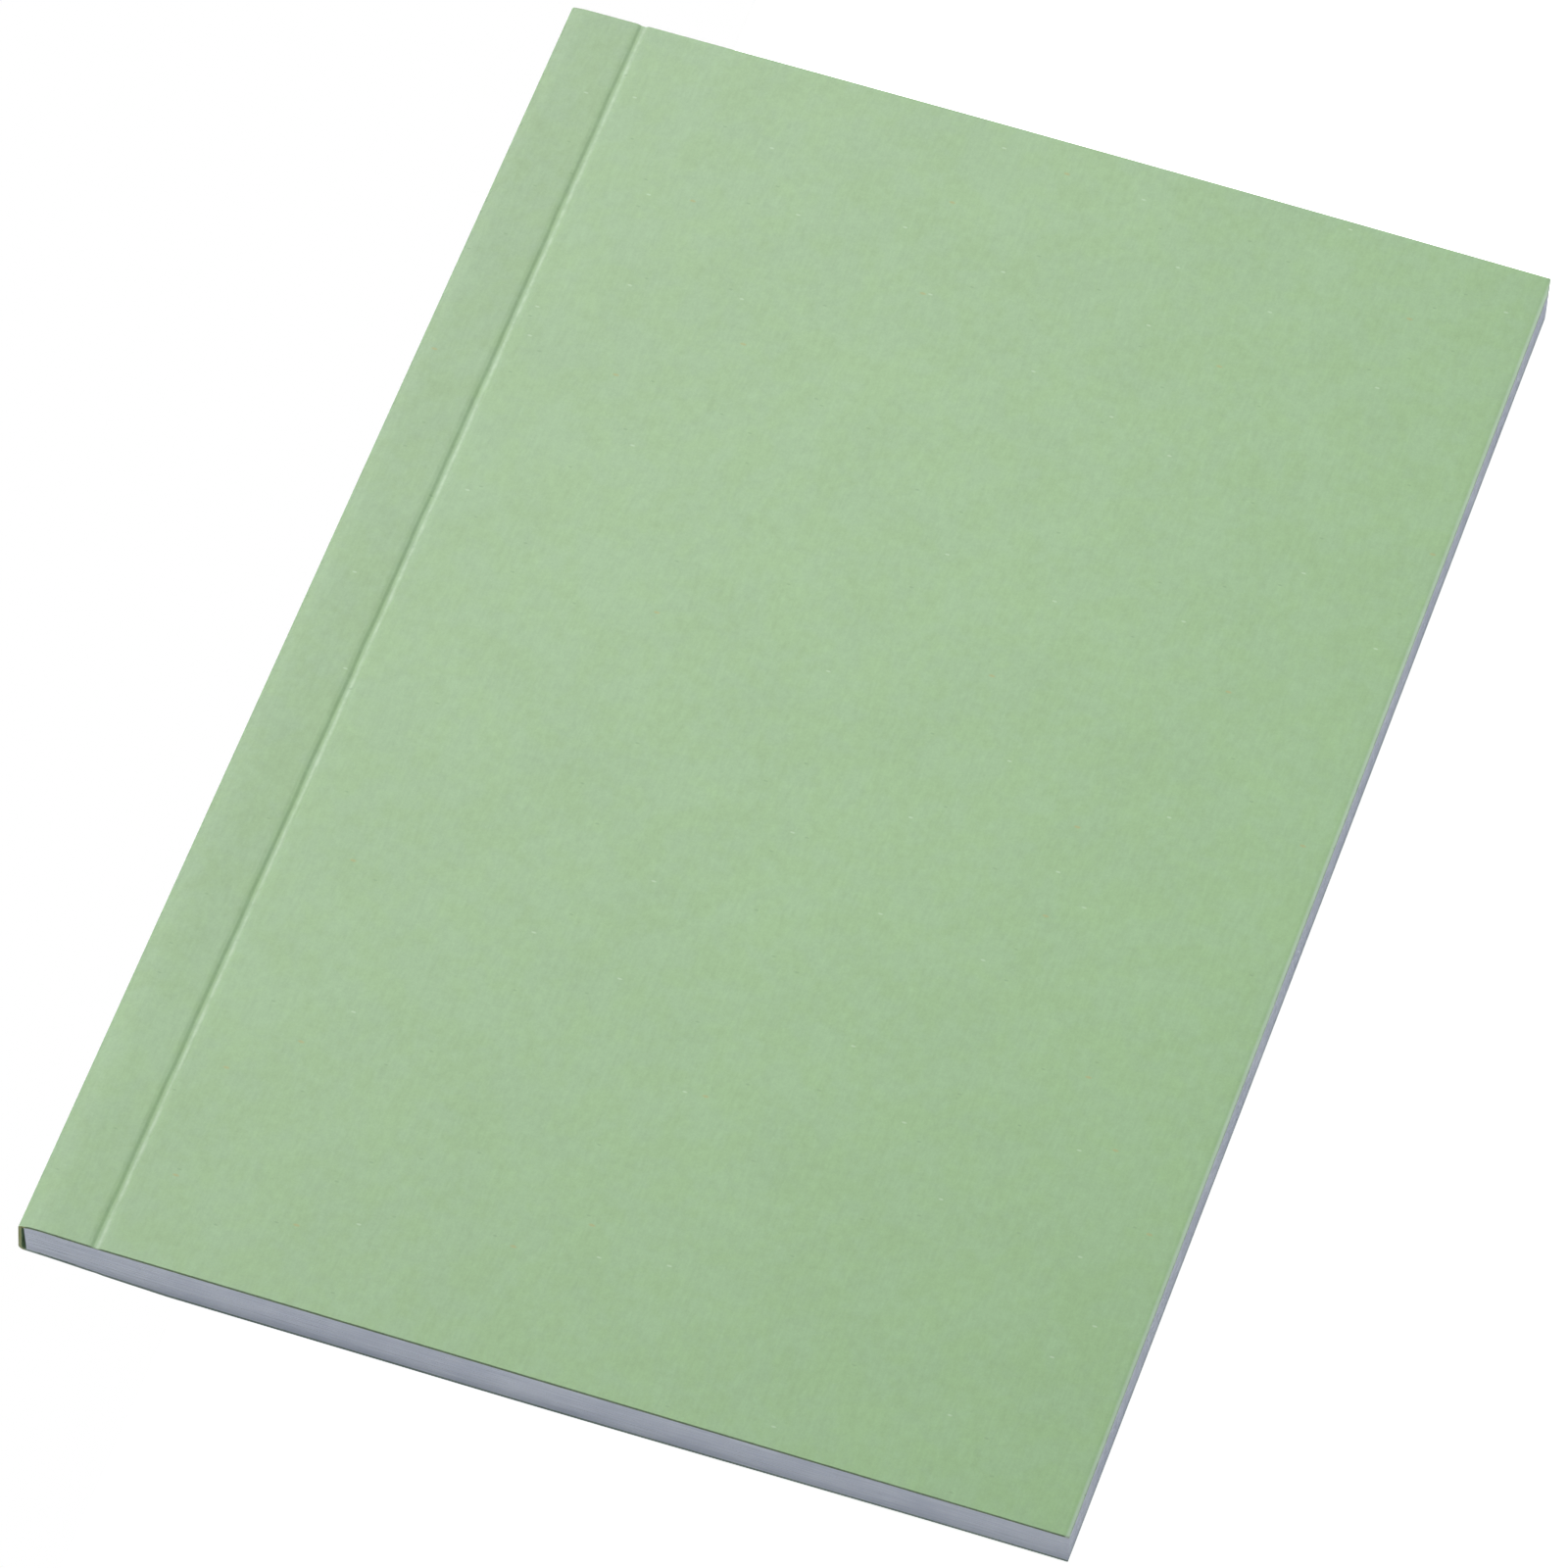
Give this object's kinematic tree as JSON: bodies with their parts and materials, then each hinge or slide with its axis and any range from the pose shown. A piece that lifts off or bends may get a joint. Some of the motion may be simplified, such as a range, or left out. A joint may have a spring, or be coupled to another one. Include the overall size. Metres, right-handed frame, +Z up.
{
  "type": "softcover notebook",
  "caption": "Closed softcover notebook: one folded card cover with pressed hinge creases, glued along the spine to a block of separate blank leaves.",
  "frame": {"origin": "centre of the closed notebook's underside, the outer face of the back cover", "axes": "+X from the spine to the fore edge, +Y from the tail to the head along the spine, +Z up through the leaves to the front cover"},
  "size_m": [0.135, 0.21, 0.0061],
  "materials": {
    "card": "matt uncoated recycled card",
    "paper": "uncoated writing paper",
    "glue": "hot-melt binding glue"
  },
  "bodies": {
    "spine": {"cover_spine": "card", "spine_glue": "glue", "front_side_glue": "glue", "back_side_glue": "glue", "bound_margin": "paper"},
    "leaf_01": {"leaf_01": "paper"},
    "leaf_02": {"leaf_02": "paper"},
    "leaf_03": {"leaf_03": "paper"},
    "leaf_04": {"leaf_04": "paper"},
    "leaf_05": {"leaf_05": "paper"},
    "leaf_06": {"leaf_06": "paper"},
    "leaf_07": {"leaf_07": "paper"},
    "leaf_08": {"leaf_08": "paper"},
    "leaf_09": {"leaf_09": "paper"},
    "leaf_10": {"leaf_10": "paper"},
    "leaf_11": {"leaf_11": "paper"},
    "leaf_12": {"leaf_12": "paper"},
    "leaf_13": {"leaf_13": "paper"},
    "leaf_14": {"leaf_14": "paper"},
    "leaf_15": {"leaf_15": "paper"},
    "leaf_16": {"leaf_16": "paper"},
    "leaf_17": {"leaf_17": "paper"},
    "leaf_18": {"leaf_18": "paper"},
    "leaf_19": {"leaf_19": "paper"},
    "leaf_20": {"leaf_20": "paper"},
    "leaf_21": {"leaf_21": "paper"},
    "leaf_22": {"leaf_22": "paper"},
    "leaf_23": {"leaf_23": "paper"},
    "leaf_24": {"leaf_24": "paper"},
    "leaf_25": {"leaf_25": "paper"},
    "leaf_26": {"leaf_26": "paper"},
    "leaf_27": {"leaf_27": "paper"},
    "leaf_28": {"leaf_28": "paper"},
    "leaf_29": {"leaf_29": "paper"},
    "leaf_30": {"leaf_30": "paper"},
    "leaf_31": {"leaf_31": "paper"},
    "leaf_32": {"leaf_32": "paper"},
    "leaf_33": {"leaf_33": "paper"},
    "leaf_34": {"leaf_34": "paper"},
    "leaf_35": {"leaf_35": "paper"},
    "leaf_36": {"leaf_36": "paper"},
    "leaf_37": {"leaf_37": "paper"},
    "leaf_38": {"leaf_38": "paper"},
    "leaf_39": {"leaf_39": "paper"},
    "leaf_40": {"leaf_40": "paper"},
    "leaf_41": {"leaf_41": "paper"},
    "leaf_42": {"leaf_42": "paper"},
    "leaf_43": {"leaf_43": "paper"},
    "leaf_44": {"leaf_44": "paper"},
    "leaf_45": {"leaf_45": "paper"},
    "leaf_46": {"leaf_46": "paper"},
    "leaf_47": {"leaf_47": "paper"},
    "leaf_48": {"leaf_48": "paper"},
    "front_cover": {"front_cover": "card"},
    "back_cover": {"back_cover": "card"}
  },
  "joints": [
    {"name": "leaf_01_turn", "type": "hinge", "parent": "spine", "child": "leaf_01", "pos_m": [-0.0575, 0, 0.00608], "axis": [0, 1, 0], "range_deg": [-179, 0]},
    {"name": "leaf_02_turn", "type": "hinge", "parent": "spine", "child": "leaf_02", "pos_m": [-0.0575, 0, 0.00608], "axis": [0, 1, 0], "range_deg": [-179, 0]},
    {"name": "leaf_03_turn", "type": "hinge", "parent": "spine", "child": "leaf_03", "pos_m": [-0.0575, 0, 0.00608], "axis": [0, 1, 0], "range_deg": [-179, 0]},
    {"name": "leaf_04_turn", "type": "hinge", "parent": "spine", "child": "leaf_04", "pos_m": [-0.0575, 0, 0.00608], "axis": [0, 1, 0], "range_deg": [-179, 0]},
    {"name": "leaf_05_turn", "type": "hinge", "parent": "spine", "child": "leaf_05", "pos_m": [-0.0575, 0, 0.00608], "axis": [0, 1, 0], "range_deg": [-179, 0]},
    {"name": "leaf_06_turn", "type": "hinge", "parent": "spine", "child": "leaf_06", "pos_m": [-0.0575, 0, 0.00608], "axis": [0, 1, 0], "range_deg": [-179, 0]},
    {"name": "leaf_07_turn", "type": "hinge", "parent": "spine", "child": "leaf_07", "pos_m": [-0.0575, 0, 0.00608], "axis": [0, 1, 0], "range_deg": [-179, 0]},
    {"name": "leaf_08_turn", "type": "hinge", "parent": "spine", "child": "leaf_08", "pos_m": [-0.0575, 0, 0.00608], "axis": [0, 1, 0], "range_deg": [-179, 0]},
    {"name": "leaf_09_turn", "type": "hinge", "parent": "spine", "child": "leaf_09", "pos_m": [-0.0575, 0, 0.00608], "axis": [0, 1, 0], "range_deg": [-179, 0]},
    {"name": "leaf_10_turn", "type": "hinge", "parent": "spine", "child": "leaf_10", "pos_m": [-0.0575, 0, 0.00608], "axis": [0, 1, 0], "range_deg": [-179, 0]},
    {"name": "leaf_11_turn", "type": "hinge", "parent": "spine", "child": "leaf_11", "pos_m": [-0.0575, 0, 0.00608], "axis": [0, 1, 0], "range_deg": [-179, 0]},
    {"name": "leaf_12_turn", "type": "hinge", "parent": "spine", "child": "leaf_12", "pos_m": [-0.0575, 0, 0.00608], "axis": [0, 1, 0], "range_deg": [-179, 0]},
    {"name": "leaf_13_turn", "type": "hinge", "parent": "spine", "child": "leaf_13", "pos_m": [-0.0575, 0, 0.00608], "axis": [0, 1, 0], "range_deg": [-179, 0]},
    {"name": "leaf_14_turn", "type": "hinge", "parent": "spine", "child": "leaf_14", "pos_m": [-0.0575, 0, 0.00608], "axis": [0, 1, 0], "range_deg": [-179, 0]},
    {"name": "leaf_15_turn", "type": "hinge", "parent": "spine", "child": "leaf_15", "pos_m": [-0.0575, 0, 0.00608], "axis": [0, 1, 0], "range_deg": [-179, 0]},
    {"name": "leaf_16_turn", "type": "hinge", "parent": "spine", "child": "leaf_16", "pos_m": [-0.0575, 0, 0.00608], "axis": [0, 1, 0], "range_deg": [-179, 0]},
    {"name": "leaf_17_turn", "type": "hinge", "parent": "spine", "child": "leaf_17", "pos_m": [-0.0575, 0, 0.00608], "axis": [0, 1, 0], "range_deg": [-179, 0]},
    {"name": "leaf_18_turn", "type": "hinge", "parent": "spine", "child": "leaf_18", "pos_m": [-0.0575, 0, 0.00608], "axis": [0, 1, 0], "range_deg": [-179, 0]},
    {"name": "leaf_19_turn", "type": "hinge", "parent": "spine", "child": "leaf_19", "pos_m": [-0.0575, 0, 0.00608], "axis": [0, 1, 0], "range_deg": [-179, 0]},
    {"name": "leaf_20_turn", "type": "hinge", "parent": "spine", "child": "leaf_20", "pos_m": [-0.0575, 0, 0.00608], "axis": [0, 1, 0], "range_deg": [-179, 0]},
    {"name": "leaf_21_turn", "type": "hinge", "parent": "spine", "child": "leaf_21", "pos_m": [-0.0575, 0, 0.00608], "axis": [0, 1, 0], "range_deg": [-179, 0]},
    {"name": "leaf_22_turn", "type": "hinge", "parent": "spine", "child": "leaf_22", "pos_m": [-0.0575, 0, 0.00608], "axis": [0, 1, 0], "range_deg": [-179, 0]},
    {"name": "leaf_23_turn", "type": "hinge", "parent": "spine", "child": "leaf_23", "pos_m": [-0.0575, 0, 0.00608], "axis": [0, 1, 0], "range_deg": [-179, 0]},
    {"name": "leaf_24_turn", "type": "hinge", "parent": "spine", "child": "leaf_24", "pos_m": [-0.0575, 0, 0.00608], "axis": [0, 1, 0], "range_deg": [-179, 0]},
    {"name": "leaf_25_turn", "type": "hinge", "parent": "spine", "child": "leaf_25", "pos_m": [-0.0575, 0, 0], "axis": [0, -1, 0], "range_deg": [-179, 0]},
    {"name": "leaf_26_turn", "type": "hinge", "parent": "spine", "child": "leaf_26", "pos_m": [-0.0575, 0, 0], "axis": [0, -1, 0], "range_deg": [-179, 0]},
    {"name": "leaf_27_turn", "type": "hinge", "parent": "spine", "child": "leaf_27", "pos_m": [-0.0575, 0, 0], "axis": [0, -1, 0], "range_deg": [-179, 0]},
    {"name": "leaf_28_turn", "type": "hinge", "parent": "spine", "child": "leaf_28", "pos_m": [-0.0575, 0, 0], "axis": [0, -1, 0], "range_deg": [-179, 0]},
    {"name": "leaf_29_turn", "type": "hinge", "parent": "spine", "child": "leaf_29", "pos_m": [-0.0575, 0, 0], "axis": [0, -1, 0], "range_deg": [-179, 0]},
    {"name": "leaf_30_turn", "type": "hinge", "parent": "spine", "child": "leaf_30", "pos_m": [-0.0575, 0, 0], "axis": [0, -1, 0], "range_deg": [-179, 0]},
    {"name": "leaf_31_turn", "type": "hinge", "parent": "spine", "child": "leaf_31", "pos_m": [-0.0575, 0, 0], "axis": [0, -1, 0], "range_deg": [-179, 0]},
    {"name": "leaf_32_turn", "type": "hinge", "parent": "spine", "child": "leaf_32", "pos_m": [-0.0575, 0, 0], "axis": [0, -1, 0], "range_deg": [-179, 0]},
    {"name": "leaf_33_turn", "type": "hinge", "parent": "spine", "child": "leaf_33", "pos_m": [-0.0575, 0, 0], "axis": [0, -1, 0], "range_deg": [-179, 0]},
    {"name": "leaf_34_turn", "type": "hinge", "parent": "spine", "child": "leaf_34", "pos_m": [-0.0575, 0, 0], "axis": [0, -1, 0], "range_deg": [-179, 0]},
    {"name": "leaf_35_turn", "type": "hinge", "parent": "spine", "child": "leaf_35", "pos_m": [-0.0575, 0, 0], "axis": [0, -1, 0], "range_deg": [-179, 0]},
    {"name": "leaf_36_turn", "type": "hinge", "parent": "spine", "child": "leaf_36", "pos_m": [-0.0575, 0, 0], "axis": [0, -1, 0], "range_deg": [-179, 0]},
    {"name": "leaf_37_turn", "type": "hinge", "parent": "spine", "child": "leaf_37", "pos_m": [-0.0575, 0, 0], "axis": [0, -1, 0], "range_deg": [-179, 0]},
    {"name": "leaf_38_turn", "type": "hinge", "parent": "spine", "child": "leaf_38", "pos_m": [-0.0575, 0, 0], "axis": [0, -1, 0], "range_deg": [-179, 0]},
    {"name": "leaf_39_turn", "type": "hinge", "parent": "spine", "child": "leaf_39", "pos_m": [-0.0575, 0, 0], "axis": [0, -1, 0], "range_deg": [-179, 0]},
    {"name": "leaf_40_turn", "type": "hinge", "parent": "spine", "child": "leaf_40", "pos_m": [-0.0575, 0, 0], "axis": [0, -1, 0], "range_deg": [-179, 0]},
    {"name": "leaf_41_turn", "type": "hinge", "parent": "spine", "child": "leaf_41", "pos_m": [-0.0575, 0, 0], "axis": [0, -1, 0], "range_deg": [-179, 0]},
    {"name": "leaf_42_turn", "type": "hinge", "parent": "spine", "child": "leaf_42", "pos_m": [-0.0575, 0, 0], "axis": [0, -1, 0], "range_deg": [-179, 0]},
    {"name": "leaf_43_turn", "type": "hinge", "parent": "spine", "child": "leaf_43", "pos_m": [-0.0575, 0, 0], "axis": [0, -1, 0], "range_deg": [-179, 0]},
    {"name": "leaf_44_turn", "type": "hinge", "parent": "spine", "child": "leaf_44", "pos_m": [-0.0575, 0, 0], "axis": [0, -1, 0], "range_deg": [-179, 0]},
    {"name": "leaf_45_turn", "type": "hinge", "parent": "spine", "child": "leaf_45", "pos_m": [-0.0575, 0, 0], "axis": [0, -1, 0], "range_deg": [-179, 0]},
    {"name": "leaf_46_turn", "type": "hinge", "parent": "spine", "child": "leaf_46", "pos_m": [-0.0575, 0, 0], "axis": [0, -1, 0], "range_deg": [-179, 0]},
    {"name": "leaf_47_turn", "type": "hinge", "parent": "spine", "child": "leaf_47", "pos_m": [-0.0575, 0, 0], "axis": [0, -1, 0], "range_deg": [-179, 0]},
    {"name": "leaf_48_turn", "type": "hinge", "parent": "spine", "child": "leaf_48", "pos_m": [-0.0575, 0, 0], "axis": [0, -1, 0], "range_deg": [-179, 0]},
    {"name": "front_cover_hinge", "type": "hinge", "parent": "leaf_01", "child": "front_cover", "pos_m": [-0.0575, 0, 0.00608], "axis": [0, -1, 0], "range_deg": [0, 180]},
    {"name": "back_cover_hinge", "type": "hinge", "parent": "leaf_48", "child": "back_cover", "pos_m": [-0.0575, 0, 0], "axis": [0, 1, 0], "range_deg": [0, 180]}
  ],
  "couplings": [
    {"joint": "leaf_02_turn", "follows": "leaf_01_turn", "ratio": 0.9981},
    {"joint": "leaf_03_turn", "follows": "leaf_01_turn", "ratio": 0.9954},
    {"joint": "leaf_04_turn", "follows": "leaf_01_turn", "ratio": 0.9922},
    {"joint": "leaf_05_turn", "follows": "leaf_01_turn", "ratio": 0.9887},
    {"joint": "leaf_06_turn", "follows": "leaf_01_turn", "ratio": 0.9849},
    {"joint": "leaf_07_turn", "follows": "leaf_01_turn", "ratio": 0.9808},
    {"joint": "leaf_08_turn", "follows": "leaf_01_turn", "ratio": 0.9766},
    {"joint": "leaf_09_turn", "follows": "leaf_01_turn", "ratio": 0.9721},
    {"joint": "leaf_10_turn", "follows": "leaf_01_turn", "ratio": 0.9675},
    {"joint": "leaf_11_turn", "follows": "leaf_01_turn", "ratio": 0.9627},
    {"joint": "leaf_12_turn", "follows": "leaf_01_turn", "ratio": 0.9578},
    {"joint": "leaf_13_turn", "follows": "leaf_01_turn", "ratio": 0.9528},
    {"joint": "leaf_14_turn", "follows": "leaf_01_turn", "ratio": 0.9476},
    {"joint": "leaf_15_turn", "follows": "leaf_01_turn", "ratio": 0.9423},
    {"joint": "leaf_16_turn", "follows": "leaf_01_turn", "ratio": 0.9369},
    {"joint": "leaf_17_turn", "follows": "leaf_01_turn", "ratio": 0.9314},
    {"joint": "leaf_18_turn", "follows": "leaf_01_turn", "ratio": 0.9257},
    {"joint": "leaf_19_turn", "follows": "leaf_01_turn", "ratio": 0.92},
    {"joint": "leaf_20_turn", "follows": "leaf_01_turn", "ratio": 0.9142},
    {"joint": "leaf_21_turn", "follows": "leaf_01_turn", "ratio": 0.9083},
    {"joint": "leaf_22_turn", "follows": "leaf_01_turn", "ratio": 0.9023},
    {"joint": "leaf_23_turn", "follows": "leaf_01_turn", "ratio": 0.8962},
    {"joint": "leaf_24_turn", "follows": "leaf_01_turn", "ratio": 0.89},
    {"joint": "leaf_25_turn", "follows": "leaf_48_turn", "ratio": 0.89},
    {"joint": "leaf_26_turn", "follows": "leaf_48_turn", "ratio": 0.8962},
    {"joint": "leaf_27_turn", "follows": "leaf_48_turn", "ratio": 0.9023},
    {"joint": "leaf_28_turn", "follows": "leaf_48_turn", "ratio": 0.9083},
    {"joint": "leaf_29_turn", "follows": "leaf_48_turn", "ratio": 0.9142},
    {"joint": "leaf_30_turn", "follows": "leaf_48_turn", "ratio": 0.92},
    {"joint": "leaf_31_turn", "follows": "leaf_48_turn", "ratio": 0.9257},
    {"joint": "leaf_32_turn", "follows": "leaf_48_turn", "ratio": 0.9314},
    {"joint": "leaf_33_turn", "follows": "leaf_48_turn", "ratio": 0.9369},
    {"joint": "leaf_34_turn", "follows": "leaf_48_turn", "ratio": 0.9423},
    {"joint": "leaf_35_turn", "follows": "leaf_48_turn", "ratio": 0.9476},
    {"joint": "leaf_36_turn", "follows": "leaf_48_turn", "ratio": 0.9528},
    {"joint": "leaf_37_turn", "follows": "leaf_48_turn", "ratio": 0.9578},
    {"joint": "leaf_38_turn", "follows": "leaf_48_turn", "ratio": 0.9627},
    {"joint": "leaf_39_turn", "follows": "leaf_48_turn", "ratio": 0.9675},
    {"joint": "leaf_40_turn", "follows": "leaf_48_turn", "ratio": 0.9721},
    {"joint": "leaf_41_turn", "follows": "leaf_48_turn", "ratio": 0.9766},
    {"joint": "leaf_42_turn", "follows": "leaf_48_turn", "ratio": 0.9808},
    {"joint": "leaf_43_turn", "follows": "leaf_48_turn", "ratio": 0.9849},
    {"joint": "leaf_44_turn", "follows": "leaf_48_turn", "ratio": 0.9887},
    {"joint": "leaf_45_turn", "follows": "leaf_48_turn", "ratio": 0.9922},
    {"joint": "leaf_46_turn", "follows": "leaf_48_turn", "ratio": 0.9954},
    {"joint": "leaf_47_turn", "follows": "leaf_48_turn", "ratio": 0.9981}
  ]
}
